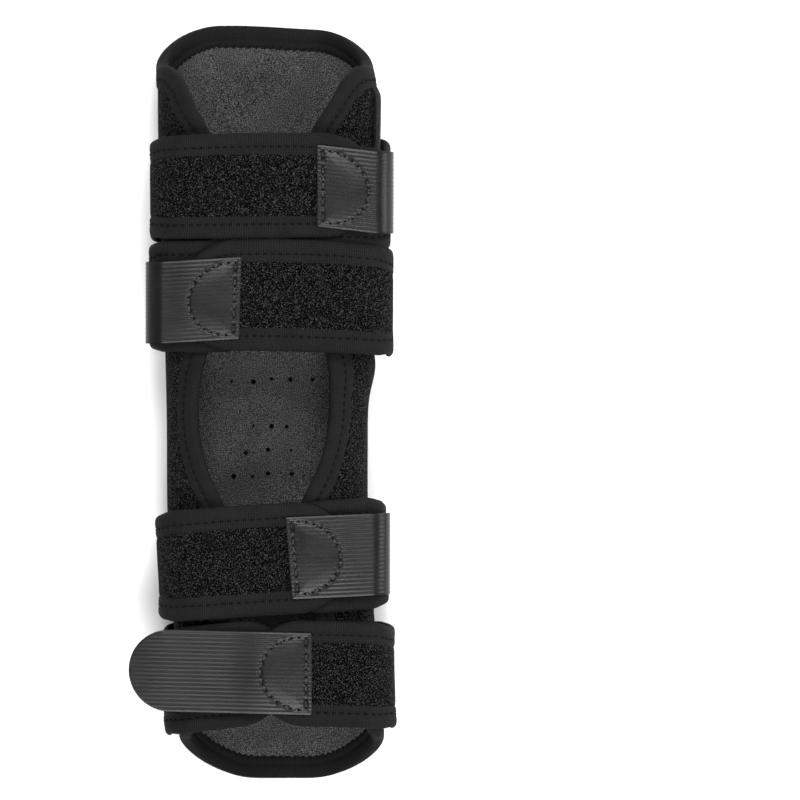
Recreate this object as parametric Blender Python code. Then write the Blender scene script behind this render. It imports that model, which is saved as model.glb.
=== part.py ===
# A padded forearm and wrist guard, lying on its back with its opening up.
# The wrap is a C-shaped laminate that runs along Y. Four padded bands go round it. Each band has a
# back that is sewn to the wrap, a strap that closes over the opening with a hook tab on its end, and
# an under-flap that lies beneath the strap. Two aluminium stays slide out of sleeves on the back.

import math

import bmesh
import bpy
from mathutils import Vector

MM = 0.001  # every size below is in millimetres

# The wrap
WRAP_LENGTH = 282.0
WRAP_FRONT_DEPTH = 56.0  # outer face of the back to outer face of the front
BACK_CORNER = 22.0  # radius between the flat back and a side
FRONT_CORNER = 18.0  # radius between a side and the front
WIDEST_HALF = 41.0
WAIST_HALF = 37.6
WAIST_Y = -10.0
TOP_CENTRE = -1.3
BOTTOM_CENTRE = 4.4  # the wrist end leans this far to the right
LEAN_START = 30.0  # below the middle
HEM_DROP = 15.5  # the hems are this much shorter at the front than along the back
HEM_SLOPE = (0.2, 0.76)  # the shares of the way round the side between which a hem drops
CORNER_SHARE = 0.1  # the round corners take this share of the wrap's half width
CORNER_DROP = 8.0
SHELL = 0.7
FOAM = 1.6
LINING = 0.7
LAYER_GAP = 0.3

# The knitted binding that folds over each edge
WRAP_BINDING_WIDTH = 6.5
BAND_BINDING_WIDTH = 8.0
BINDING_THICK = 0.5
WRAP_BINDING_GAP = 0.8
LAYER_INSET_GAP = 2.0  # between the layers' cut edges and the fold of the binding
BAND_BINDING_GAP = 0.3

# The bands
BAND_THICK = 3.0
BAND_HEIGHT = 40.0
BAND_BACK_CORNER = 25.3  # at the middle of the band's thickness
STRAP_CORNER = 14.0
FLAP_CORNER = 12.0
HINGE_Z = 54.0
HINGE_RELIEF = 1.3  # the side stops this far short of the strap's round of travel
FLAP_REACH = 1.0  # past the band's middle

# The hook tabs
TAB_LENGTH = 68.4
TAB_HEIGHT = 30.5
TAB_THICK = 1.0
TAB_SEWN = 22.9  # from the tab's square end to the strap's round end
TAB_CORNER = 6.5
TAB_GAP = 0.3
TAB_SIDE_GAP = 0.4
TAB_HINGE_RELIEF = 0.8

# The stays and their sleeves
STAY_WIDTH = 10.4
STAY_THICK = 1.0
STAY_LENGTH = 208.0
STAY_END_RADIUS = 4.0
SLEEVE_WALL = 0.5
SLEEVE_LENGTH = 214.0
SLEEVE_SIDE_WALL = 0.9
SLEEVE_X = 7.2  # from the guard's middle to the sleeve's
SLEEVE_Y = 4.0
SLEEVE_STAND_OFF = 0.8  # lets a stay slide out past the wrap's binding

# The tape over the seam along the right side
TAPE_WIDTH = 10.0
TAPE_THICK = 0.9
TAPE_COLUMNS = 6
TAPE_TOP = 116.0
TAPE_RISE = 13.0  # from where the side wall starts to the tape's lower edge
TAPE_BOTTOM = 22.0

ARC_STEP = math.radians(15.0)
END_STEPS = 10  # round a strap's end
PANEL_COLUMNS = 11  # for each half of the wrap, up to its round corner
CORNER_COLUMNS = 4
END_ROWS = 5  # closer rows where the ends narrow
END_SHARE = 0.17
MIDDLE_ROWS = 9

# Stacked from the table up: band, sleeve with its stay, wrap, under-flap, strap, tab
SLEEVE_THICK = 2 * SLEEVE_WALL + STAY_THICK + 2 * LAYER_GAP
WRAP_BACK_Z = BAND_THICK + LAYER_GAP + SLEEVE_THICK + SLEEVE_STAND_OFF
LAMINATE = SHELL + FOAM + LINING + 2 * LAYER_GAP
FRONT_Z = WRAP_BACK_Z + WRAP_FRONT_DEPTH
FLAP_Z = FRONT_Z + WRAP_BINDING_GAP + BINDING_THICK + 0.35 + BAND_THICK / 2
STRAP_Z = FLAP_Z + BAND_THICK + LAYER_GAP
TAB_Z = STRAP_Z + BAND_THICK / 2 + TAB_GAP + TAB_THICK / 2

# side: +1 where the strap starts at the left, -1 where it starts at the right.
# centre and inner: where the band's ring sits and its inner half width. tab_start: how far the tab's
# square end is from the guard's middle. slope: how much the band climbs towards the right.
BANDS = (
    {"number": 1, "y": 79.0, "side": 1, "centre": -0.3, "inner": 41.9, "tab_start": 17.4, "slope": 0.0},
    {"number": 2, "y": 38.6, "side": -1, "centre": 0.1, "inner": 42.6, "tab_start": 11.4, "slope": 0.0},
    {"number": 3, "y": -59.2, "side": 1, "centre": 0.4, "inner": 39.7, "tab_start": 6.8, "slope": 0.06},
    {"number": 4, "y": -102.2, "side": -1, "centre": 3.05, "inner": 40.25, "tab_start": -15.3, "slope": 0.0},
)
FREE_TAB = 4  # this band's tab isn't pressed down: it sticks straight out

# The free tab reaches further left than the guard does on its right, so the guard's own middle is
# moved right by half the difference, which puts the origin under the middle of everything.
FREE_TAB_REACH = TAB_LENGTH + BANDS[3]["tab_start"]
RIGHT_REACH = BANDS[3]["centre"] + BANDS[3]["inner"] + BAND_THICK
SHIFT_X = (FREE_TAB_REACH - RIGHT_REACH) / 2

# How far the wrap's front edges stand from its middle, from the elbow end to the wrist end.
LEFT_EDGE = ((128, 35.5), (114, 29.5), (99, 20.5), (60, 20.5), (22, 21.5), (8, 25.5), (-8, 26.6),
             (-24, 23.0), (-38, 16.5), (-70, 15.0), (-100, 21.5), (-114, 31.0), (-128, 36.0))
RIGHT_EDGE = ((128, 34.0), (114, 24.5), (99, 15.5), (60, 16.0), (22, 20.5), (8, 23.0), (-8, 23.2),
              (-24, 19.0), (-38, 12.5), (-70, 13.5), (-86, 15.5), (-100, 22.0), (-114, 30.0), (-128, 35.5))


def smooth(value, low, high):
    share = min(max((value - low) / (high - low), 0.0), 1.0)
    return share * share * (3 - 2 * share)


def interpolate(points, y):
    """A smooth line through the points, which run from high y to low."""
    if y >= points[0][0]:
        return points[0][1]
    for index in range(len(points) - 1):
        (y_high, reach_high), (y_low, reach_low) = points[index], points[index + 1]
        if y >= y_low:
            before = points[max(index - 1, 0)]
            after = points[min(index + 2, len(points) - 1)]
            span = y_low - y_high
            slope_high = (reach_low - before[1]) / (y_low - before[0]) * span
            slope_low = (after[1] - reach_high) / (after[0] - y_high) * span
            t = (y - y_high) / span
            return (
                (2 * t**3 - 3 * t**2 + 1) * reach_high
                + (t**3 - 2 * t**2 + t) * slope_high
                + (3 * t**2 - 2 * t**3) * reach_low
                + (t**3 - t**2) * slope_low
            )
    return points[-1][1]


# Materials


def material(name, colour, roughness, metallic=0.0):
    made = bpy.data.materials.new(name)
    made.use_nodes = True
    shader = made.node_tree.nodes["Principled BSDF"]
    shader.inputs["Base Color"].default_value = (*colour, 1.0)
    shader.inputs["Roughness"].default_value = roughness
    shader.inputs["Metallic"].default_value = metallic
    return made


# Lines in a cross-section: a start, a heading in radians, then straight and round stretches.
# A round stretch turns clockwise, which keeps the outside on the left.


def walk(line, s):
    """The point at distance s along the line, and the direction there."""
    (u, z), heading = line["start"], line["heading"]
    for index, (kind, size) in enumerate(line["parts"]):
        length = size if kind == "straight" else size * math.pi / 2
        last = index == len(line["parts"]) - 1
        here = s if last else min(s, length)
        if kind == "straight":
            u += math.cos(heading) * here
            z += math.sin(heading) * here
        else:
            turn = here / size
            u += size * (math.sin(heading) - math.sin(heading - turn))
            z += size * (math.cos(heading - turn) - math.cos(heading))
            heading -= turn
        s -= here
        if s <= 0 and not last:
            break
    return u, z, heading


def stops(line, first, final):
    """Distances along the line where its mesh needs an edge."""
    found = [first, final]
    done = 0.0
    for kind, size in line["parts"]:
        length = size if kind == "straight" else size * math.pi / 2
        pieces = 1 if kind == "straight" else round(math.pi / 2 / ARC_STEP)
        found += [done + length * i / pieces for i in range(pieces + 1)]
        done += length
    return sorted({round(s, 4) for s in found if first <= s <= final})


def band_surface(band, line, side, thick):
    """Maps (s, y, depth) to a point: s along the line, y along the guard, depth in from outside."""

    def surface(s, y, depth):
        u, z, heading = walk(line, s)
        out = thick / 2 - depth
        x = band["centre"] + side * (u - math.sin(heading) * out)
        climb = band["slope"] * (x - band["centre"])
        return Vector((x + SHIFT_X, y + climb, z + math.cos(heading) * out)) * MM

    return surface


# The wrap's own surface


def wrap_half(y):
    above = (WIDEST_HALF - WAIST_HALF) * smooth(y, WAIST_Y, WRAP_LENGTH * 0.42)
    return WAIST_HALF + above


def wrap_centre(y):
    lean = (BOTTOM_CENTRE - TOP_CENTRE) * smooth(-y, LEAN_START, WRAP_LENGTH / 2)
    return TOP_CENTRE + lean


def wrap_line(y):
    half = wrap_half(y)
    side_height = WRAP_FRONT_DEPTH - BACK_CORNER - FRONT_CORNER
    parts = (
        ("straight", half - BACK_CORNER),
        ("round", BACK_CORNER),
        ("straight", side_height),
        ("round", FRONT_CORNER),
        ("straight", half),
    )
    return half, parts


def wrap_point(hand, s, y, depth):
    """hand is -1 on the left half and +1 on the right. s starts at the middle of the back."""
    half, parts = wrap_line(y)
    u, z, heading = 0.0, 0.0, 0.0
    left = max(s, 0.0)
    for kind, size in parts:
        length = size if kind == "straight" else size * math.pi / 2
        here = min(left, length)
        if kind == "straight":
            u += math.cos(heading) * here
            z += math.sin(heading) * here
        else:
            turn = here / size
            u += size * (math.sin(heading + turn) - math.sin(heading))
            z += size * (math.cos(heading) - math.cos(heading + turn))
            heading += turn
        left -= here
    u -= math.sin(heading) * depth
    z += math.cos(heading) * depth
    u += min(s, 0.0)
    return Vector((wrap_centre(y) + hand * u + SHIFT_X, y, WRAP_BACK_Z + z)) * MM


def edge_distance(hand, y):
    """How far from the middle of the back the wrap's front edge is, measured round the wrap."""
    reach = interpolate(LEFT_EDGE if hand < 0 else RIGHT_EDGE, y)
    half, parts = wrap_line(y)
    round_start = sum(
        size if kind == "straight" else size * math.pi / 2 for kind, size in parts[:3]
    )
    past = reach - (half - FRONT_CORNER)
    if past >= 0:
        return round_start + FRONT_CORNER * math.acos(min(past / FRONT_CORNER, 1.0))
    return round_start + FRONT_CORNER * math.pi / 2 - past


def hem_y(end, share):
    """The hem's y where share of the way from the back's middle to the front edge. end is +1 or -1."""
    drop = HEM_DROP * smooth(share, *HEM_SLOPE)
    into_corner = min(max((share - 1 + CORNER_SHARE) / CORNER_SHARE, 0.0), 1.0)
    drop += CORNER_DROP * (1 - math.sqrt(1 - into_corner**2))
    return end * (WRAP_LENGTH / 2 - drop)


def pattern_columns():
    """Shares of the way across the wrap, from -1 at the left edge to 1, closer at the corners."""
    flat = [(1 - CORNER_SHARE) * column / PANEL_COLUMNS for column in range(PANEL_COLUMNS + 1)]
    turns = [math.pi / 2 * step / CORNER_COLUMNS for step in range(1, CORNER_COLUMNS + 1)]
    half = flat + [1 - CORNER_SHARE + CORNER_SHARE * math.sin(turn) for turn in turns]
    return [-share for share in reversed(half[1:])] + half


def pattern_rows():
    """Shares of the way along the wrap, from 0 at the wrist end to 1."""
    end = [END_SHARE * row / END_ROWS for row in range(END_ROWS)]
    middle = [
        END_SHARE + (1 - 2 * END_SHARE) * row / MIDDLE_ROWS for row in range(MIDDLE_ROWS + 1)
    ]
    return end + middle + [1 - along for along in reversed(end)]


def pattern_point(share, along, inset=0.0):
    """(hand, s, y) for a share from -1 to 1 across and 0 to 1 along the wrap's flat pattern."""
    hand = -1 if share < 0 else 1
    low, high = hem_y(-1, abs(share)) + inset, hem_y(1, abs(share)) - inset
    y = low + (high - low) * along
    return hand, abs(share) * (edge_distance(hand, y) - inset), y


def wrap_at(across, y, depth):
    """As wrap_point, with across signed: below zero on the left."""
    return wrap_point(-1 if across < 0 else 1, abs(across), y, depth)


# Meshes


def add_object(name, mesh_data, finish, parent=None):
    bmesh.ops.recalc_face_normals(mesh_data, faces=mesh_data.faces)
    mesh = bpy.data.meshes.new(name)
    made = bpy.data.objects.new(name, mesh)
    bpy.context.scene.collection.objects.link(made)
    if parent is not None:
        made.parent = parent
        bmesh.ops.translate(mesh_data, vec=-parent.location, verts=mesh_data.verts)
    mesh_data.to_mesh(mesh)
    mesh_data.free()
    mesh.materials.append(finish)
    mesh.shade_smooth()
    mesh.set_sharp_from_angle(angle=math.radians(35))
    return made


def loft(name, sections, finish, closed=False, parent=None):
    """Skins a row of equal sections. A section's first half faces its second half, for the end caps."""
    shape = bmesh.new()
    rings = [[shape.verts.new(point) for point in section] for section in sections]
    count = len(rings[0])
    pairs = list(zip(rings, rings[1:]))
    if closed:
        pairs.append((rings[-1], rings[0]))
    for one, two in pairs:
        for i in range(count):
            j = (i + 1) % count
            # both sides of a layer are split along the same diagonals, so layers stay parallel
            a, b = (i, j) if i < count // 2 else (j, i)
            shape.faces.new((one[a], one[b], two[b]))
            shape.faces.new((one[a], two[b], two[a]))
    if not closed:
        for ring in (rings[0], rings[-1]):
            for i in range(count // 2 - 1):
                shape.faces.new((ring[i], ring[i + 1], ring[count - 2 - i], ring[count - 1 - i]))
    return add_object(name, shape, finish, parent)


def slab(name, surface, stations, depths, finish, parent=None):
    """A panel between two depths. Each station is a distance along with its lowest and highest y."""
    outer, inner = depths
    sections = [
        (surface(s, low, outer), surface(s, high, outer), surface(s, high, inner), surface(s, low, inner))
        for s, low, high in stations
    ]
    return loft(name, sections, finish, parent=parent)


def channel(thick, width, pieces):
    """The folded binding's section as (distance in from the edge, depth)."""
    across = [width * (1 - i / pieces) for i in range(pieces)]
    outside = [(w, 0.0) for w in across] + [(0.0, 0.0), (0.0, thick)]
    outside += [(w, thick) for w in reversed(across)]
    inner_low, inner_high = BINDING_THICK, thick - BINDING_THICK
    inside = [(w, inner_high) for w in across] + [(BINDING_THICK, inner_high)]
    inside += [(BINDING_THICK, inner_low)] + [(w, inner_low) for w in reversed(across)]
    return outside + inside


# The wrap's pieces


def wrap_layer(name, outer, thick, finish):
    inset = BINDING_THICK + LAYER_INSET_GAP
    sections = []
    for share in pattern_columns():
        line = [pattern_point(share, along, inset) for along in pattern_rows()]
        section = [wrap_point(*point, outer) for point in line]
        section += [wrap_point(*point, outer + thick) for point in reversed(line)]
        sections.append(section)
    return loft(name, sections, finish)


def wrap_outline():
    """The wrap's edge as (across, y) points, anticlockwise from the wrist end's middle."""
    columns = pattern_columns()
    side_rows = [row / 22 for row in range(1, 22)]
    outline = []
    for share in columns:
        hand, s, y = pattern_point(share, 0.0)
        outline.append((hand * s, y))
    for row in side_rows:
        hand, s, y = pattern_point(1.0, row)
        outline.append((s, y))
    for share in reversed(columns):
        hand, s, y = pattern_point(share, 1.0)
        outline.append((hand * s, y))
    for row in reversed(side_rows):
        hand, s, y = pattern_point(-1.0, row)
        outline.append((-s, y))
    return outline


def wrap_binding(finish):
    """One tape, folded over the wrap's whole edge."""
    outline = wrap_outline()
    count = len(outline)
    section = channel(LAMINATE + 2 * (BINDING_THICK + WRAP_BINDING_GAP), WRAP_BINDING_WIDTH, 2)
    outer = -(BINDING_THICK + WRAP_BINDING_GAP)
    sections = []
    for index, (across, y) in enumerate(outline):
        before, after = outline[index - 1], outline[(index + 1) % count]
        run = Vector((after[0] - before[0], after[1] - before[1])).normalized()
        inward = Vector((-run.y, run.x))
        sections.append(
            [wrap_at(across + inward.x * w, y + inward.y * w, outer + depth) for w, depth in section]
        )
    return loft("edge_binding", sections, finish, closed=True)


def side_tape(finish):
    """A flat tape over the seam that runs down the right side."""
    sections = []
    for row in range(7):
        y = TAPE_TOP + (TAPE_BOTTOM - TAPE_TOP) * row / 6
        start = wrap_half(y) - BACK_CORNER + BACK_CORNER * math.pi / 2 + TAPE_RISE
        across = [start + TAPE_WIDTH * step / TAPE_COLUMNS for step in range(TAPE_COLUMNS + 1)]
        outside = [(s, -(LAYER_GAP + TAPE_THICK)) for s in across]
        inside = [(s, -LAYER_GAP) for s in reversed(across)]
        sections.append([wrap_point(1, s, y, depth) for s, depth in outside + inside])
    return loft("side_seam_tape", sections, finish)


# The bands


def band_back(band, finish):
    """The part of a band that is sewn to the wrap: the back and both sides."""
    middle = band["inner"] + BAND_THICK / 2
    rise = HINGE_Z - BAND_THICK / 2 - HINGE_RELIEF
    corner = BAND_BACK_CORNER
    parts = (
        ("straight", rise - BAND_THICK / 2 - corner),
        ("round", corner),
        ("straight", 2 * (middle - corner)),
        ("round", corner),
        ("straight", rise - BAND_THICK / 2 - corner),
    )
    line = {"start": (middle, rise), "heading": -math.pi / 2, "parts": parts}
    length = sum(size if kind == "straight" else size * math.pi / 2 for kind, size in parts)
    surface = band_surface(band, line, 1, BAND_THICK)
    low, high = band["y"] - BAND_HEIGHT / 2, band["y"] + BAND_HEIGHT / 2
    stations = [(s, low, high) for s in stops(line, 0.0, length)]
    return slab(f"band_{band['number']}_back", surface, stations, (0.0, BAND_THICK), finish)


def round_end(line, centre_s, radius, first, steps=6):
    """Half heights from the start to a round end, as (s, half height)."""
    found = [(s, radius) for s in stops(line, first, centre_s)]
    for step in range(1, steps):
        angle = math.radians(84) * step / (steps - 1)
        found.append((centre_s + radius * math.sin(angle), radius * math.cos(angle)))
    return found


def round_outline(line, centre_s, radius, y):
    """The edge of a strap from its hinge, round its end and back, as (s, y, inward s, inward y)."""
    runs = stops(line, 0.0, centre_s)
    edge = [(s, y + radius, 0.0, -1.0) for s in runs[:-1]]
    for step in range(END_STEPS + 1):
        angle = math.pi / 2 - math.pi * step / END_STEPS
        across, up = math.cos(angle), math.sin(angle)
        edge.append((centre_s + radius * across, y + radius * up, -across, -up))
    edge += [(s, y - radius, 0.0, 1.0) for s in reversed(runs[:-1])]
    return edge


def bound_pad(name, band, line, side, end_s, finishes, parent):
    """A padded strap or flap: its pad and the binding folded over the pad's three free edges."""
    surface = band_surface(band, line, side, BAND_THICK)
    radius = BAND_HEIGHT / 2
    centre_s = end_s - radius
    inset = BINDING_THICK + BAND_BINDING_GAP
    stations = [
        (s, band["y"] - half, band["y"] + half)
        for s, half in round_end(line, centre_s, radius - inset, 0.0)
    ]
    slab(f"{name}_pad", surface, stations, (inset, BAND_THICK - inset), finishes["loop"], parent)
    section = channel(BAND_THICK, BAND_BINDING_WIDTH, 1)
    sections = [
        [surface(s + in_s * w, y + in_y * w, depth) for w, depth in section]
        for s, y, in_s, in_y in round_outline(line, centre_s, radius, band["y"])
    ]
    loft(f"{name}_binding", sections, finishes["binding"], parent=parent)


def hinge_empty(name, x, y, z):
    made = bpy.data.objects.new(name, None)
    made.location = Vector((x + SHIFT_X, y, z)) * MM
    bpy.context.scene.collection.objects.link(made)
    return made


def strap(band, finishes):
    """The long end, hinged where it leaves the side, and the hook tab sewn on its end."""
    number, side = band["number"], band["side"]
    middle = band["inner"] + BAND_THICK / 2
    hinge = hinge_empty(f"strap_{number}_hinge", band["centre"] - side * middle, band["y"], HINGE_Z)
    rise = STRAP_Z - STRAP_CORNER - HINGE_Z
    parts = (("straight", rise), ("round", STRAP_CORNER), ("straight", 2 * middle))
    line = {"start": (-middle, HINGE_Z), "heading": math.pi / 2, "parts": parts}
    start_u = side * (side * band["tab_start"] - band["centre"])
    end_u = start_u + TAB_SEWN
    end_s = rise + STRAP_CORNER * math.pi / 2 + (end_u + middle - STRAP_CORNER)
    bound_pad(f"strap_{number}", band, line, side, end_s, finishes, hinge)

    tab_line = {"start": (start_u, TAB_Z), "heading": 0.0, "parts": (("straight", TAB_LENGTH),)}
    surface = band_surface(band, tab_line, side, TAB_THICK)
    y = band["y"]
    half = TAB_HEIGHT / 2
    stations = [(0.0, y - half, y + half), (TAB_SEWN - TAB_HINGE_RELIEF, y - half, y + half)]
    depths = (0.0, TAB_THICK)
    slab(f"hook_tab_{number}_sewn_end", surface, stations, depths, finishes["hook"], hinge)

    climb = band["slope"] * side * end_u
    peel_x = band["centre"] + side * end_u
    peel = hinge_empty(f"hook_tab_{number}_bend", peel_x, band["y"] + climb, TAB_Z)
    free = TAB_LENGTH - TAB_SEWN
    parts = (("straight", free),)
    if number != FREE_TAB:
        side_u = band["inner"] + BAND_THICK + TAB_SIDE_GAP + TAB_THICK / 2
        across = side_u - TAB_CORNER - end_u
        parts = (("straight", across), ("round", TAB_CORNER), ("straight", free))
    free_line = {"start": (end_u, TAB_Z), "heading": 0.0, "parts": parts}
    surface = band_surface(band, free_line, side, TAB_THICK)
    stations = [
        (s, y - tall, y + tall) for s, tall in round_end(free_line, free - half, half, 0.0, 8)
    ]
    slab(f"hook_tab_{number}_free_end", surface, stations, depths, finishes["hook"], peel)


def under_flap(band, finishes):
    """The short end, which comes from the other side and lies beneath the strap."""
    number, side = band["number"], -band["side"]
    middle = band["inner"] + BAND_THICK / 2
    hinge = hinge_empty(f"flap_{number}_hinge", band["centre"] - side * middle, band["y"], HINGE_Z)
    rise = FLAP_Z - FLAP_CORNER - HINGE_Z
    parts = (("straight", rise), ("round", FLAP_CORNER), ("straight", 2 * middle))
    line = {"start": (-middle, HINGE_Z), "heading": math.pi / 2, "parts": parts}
    end_s = rise + FLAP_CORNER * math.pi / 2 + (FLAP_REACH + middle - FLAP_CORNER)
    bound_pad(f"under_flap_{number}", band, line, side, end_s, finishes, hinge)


# The stays


def block(name, size, centre, finish, corner=0.0):
    shape = bmesh.new()
    bmesh.ops.create_cube(shape, size=1.0)
    bmesh.ops.scale(shape, vec=Vector(size) * MM, verts=shape.verts)
    if corner:
        upright = [
            edge for edge in shape.edges
            if abs(edge.verts[0].co.z - edge.verts[1].co.z) > size[2] * MM / 2
        ]
        bmesh.ops.bevel(
            shape, geom=upright, offset=corner * MM, segments=4, profile=0.5, affect="EDGES"
        )
    bmesh.ops.translate(shape, vec=Vector(centre) * MM, verts=shape.verts)
    return add_object(name, shape, finish)


def stay_and_sleeve(name, x, finishes):
    low = BAND_THICK + LAYER_GAP
    centre_z = low + SLEEVE_THICK / 2
    hollow_width = STAY_WIDTH + 2 * LAYER_GAP
    sleeve_width = hollow_width + 2 * SLEEVE_SIDE_WALL
    hollow_height = STAY_THICK + 2 * LAYER_GAP
    place = (x + SHIFT_X, SLEEVE_Y, centre_z)
    sleeve = block(f"{name}_stay_sleeve", (sleeve_width, SLEEVE_LENGTH, SLEEVE_THICK), place, finishes["tape"])
    past = 10.0  # the hollow runs out of the sleeve's upper end, and stops short of the lower one
    hollow_size = (hollow_width, SLEEVE_LENGTH + past, hollow_height)
    hollow_place = (x + SHIFT_X, SLEEVE_Y + past, centre_z)
    cutter = block(f"{name}_sleeve_cutter", hollow_size, hollow_place, finishes["tape"])
    cutter.hide_render = True
    cutter.display_type = "WIRE"
    cut = sleeve.modifiers.new("hollow", "BOOLEAN")
    cut.operation = "DIFFERENCE"
    cut.object = cutter
    upper_end = SLEEVE_Y + SLEEVE_LENGTH / 2
    stay_place = (x + SHIFT_X, upper_end + 3.0 - STAY_LENGTH / 2, centre_z)
    block(f"{name}_stay", (STAY_WIDTH, STAY_LENGTH, STAY_THICK), stay_place, finishes["stay"], STAY_END_RADIUS)


def main():
    for old in list(bpy.data.objects):
        bpy.data.objects.remove(old)
    finishes = {
        "loop": material("loop_fabric", (0.02, 0.02, 0.022), 0.85),
        "foam": material("foam", (0.05, 0.05, 0.055), 0.9),
        "lining": material("lining_knit", (0.06, 0.06, 0.065), 0.9),
        "binding": material("binding_knit", (0.05, 0.05, 0.054), 0.85),
        "hook": material("hook_plastic", (0.015, 0.015, 0.017), 0.35),
        "tape": material("tape", (0.025, 0.025, 0.027), 0.8),
        "stay": material("stay_aluminium", (0.75, 0.76, 0.78), 0.35, 1.0),
    }
    wrap_layer("outer_shell", 0.0, SHELL, finishes["loop"])
    wrap_layer("foam_core", SHELL + LAYER_GAP, FOAM, finishes["foam"])
    wrap_layer("lining", SHELL + FOAM + 2 * LAYER_GAP, LINING, finishes["lining"])
    wrap_binding(finishes["binding"])
    side_tape(finishes["tape"])
    for band in BANDS:
        band_back(band, finishes["loop"])
        strap(band, finishes)
        under_flap(band, finishes)
    for name, x in (("left", -SLEEVE_X), ("right", SLEEVE_X)):
        stay_and_sleeve(name, x, finishes)


main()
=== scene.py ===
import math

import bpy
import numpy as np
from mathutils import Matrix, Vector


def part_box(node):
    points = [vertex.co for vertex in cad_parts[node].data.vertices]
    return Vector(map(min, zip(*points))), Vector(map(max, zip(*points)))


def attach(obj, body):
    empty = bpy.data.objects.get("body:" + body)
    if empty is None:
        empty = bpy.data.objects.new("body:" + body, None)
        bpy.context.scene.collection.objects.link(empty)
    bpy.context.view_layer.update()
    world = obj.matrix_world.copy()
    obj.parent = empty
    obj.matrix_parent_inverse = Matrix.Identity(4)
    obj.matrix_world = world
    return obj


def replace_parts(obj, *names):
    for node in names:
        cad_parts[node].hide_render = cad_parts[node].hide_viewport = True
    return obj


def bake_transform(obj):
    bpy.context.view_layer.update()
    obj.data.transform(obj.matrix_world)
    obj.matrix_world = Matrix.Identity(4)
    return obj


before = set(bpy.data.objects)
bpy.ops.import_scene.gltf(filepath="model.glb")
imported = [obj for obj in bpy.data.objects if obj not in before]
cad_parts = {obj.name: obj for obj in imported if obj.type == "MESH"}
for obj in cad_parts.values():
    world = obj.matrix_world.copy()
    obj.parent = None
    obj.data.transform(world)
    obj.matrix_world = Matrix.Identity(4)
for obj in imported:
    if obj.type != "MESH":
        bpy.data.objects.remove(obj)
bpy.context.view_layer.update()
print("frame loaded")

# the guard lies on its back, and everything is seen from straight above
studio = {
    "lens": 1444.0, "sensor": 36.0, "distance": 12.035, "look": (0.0516, 0.0007),
    "aim": (0, 0, 0.03), "floorSize": 4.0, "floorZ": -0.0004,
    "floorColour": (0.95, 0.95, 0.95), "worldStrength": 0.46,
    # name, place, size, power
    "lights": (("highElbow", (0.04, 0.56, 1.3), 0.45, 16.0), ("highHand", (0.04, -0.56, 1.3), 0.45, 17.0),
               ("rightSide", (0.75, 0.05, 0.38), 0.40, 5.0), ("leftSide", (-0.85, 0.10, 0.30), 0.5, 0.6),
               ("elbowEnd", (0.0, 0.9, 0.40), 0.5, 2.0)),
}


def deselect():
    if bpy.context.object and bpy.context.object.mode != "OBJECT":
        bpy.ops.object.mode_set(mode="OBJECT")
    bpy.ops.object.select_all(action="DESELECT")


def makeStudio():
    deselect()
    bpy.ops.mesh.primitive_plane_add(size=studio["floorSize"], location=(0, 0, studio["floorZ"]))
    floor = bpy.context.object
    floor.name = "paleFloor"
    paint = bpy.data.materials.new("paleFloor")
    paint.use_nodes = True
    shader = paint.node_tree.nodes["Principled BSDF"]
    shader.inputs["Base Color"].default_value = (*studio["floorColour"], 1)
    shader.inputs["Roughness"].default_value = 0.9
    floor.data.materials.append(paint)
    for name, place, size, power in studio["lights"]:
        bpy.ops.object.light_add(type="AREA", location=place)
        light = bpy.context.object
        light.name = name
        light.data.energy, light.data.size = power, size
        light.rotation_euler = (Vector(studio["aim"]) - Vector(place)).to_track_quat("-Z", "Y").to_euler()
    world = bpy.data.worlds.new("studio")
    bpy.context.scene.world = world
    world.use_nodes = True
    world.node_tree.nodes["Background"].inputs["Color"].default_value = (1, 1, 1, 1)
    world.node_tree.nodes["Background"].inputs["Strength"].default_value = studio["worldStrength"]
    bpy.ops.object.camera_add(location=(*studio["look"], studio["distance"]))
    camera = bpy.context.object
    camera.data.sensor_width, camera.data.lens = studio["sensor"], studio["lens"]
    camera.data.clip_end = 50.0
    bpy.context.scene.camera = camera
    bpy.context.scene.view_settings.view_transform = "Standard"


makeStudio()
print("studio ready")


class Wire:
    def __init__(self, shelf, socket):
        self.shelf, self.socket = shelf, socket

    def __add__(self, other):
        return self.shelf.maths("ADD", self, other)

    def __mul__(self, other):
        return self.shelf.maths("MULTIPLY", self, other)

    def __sub__(self, other):
        return self.shelf.maths("SUBTRACT", self, other)


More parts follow.
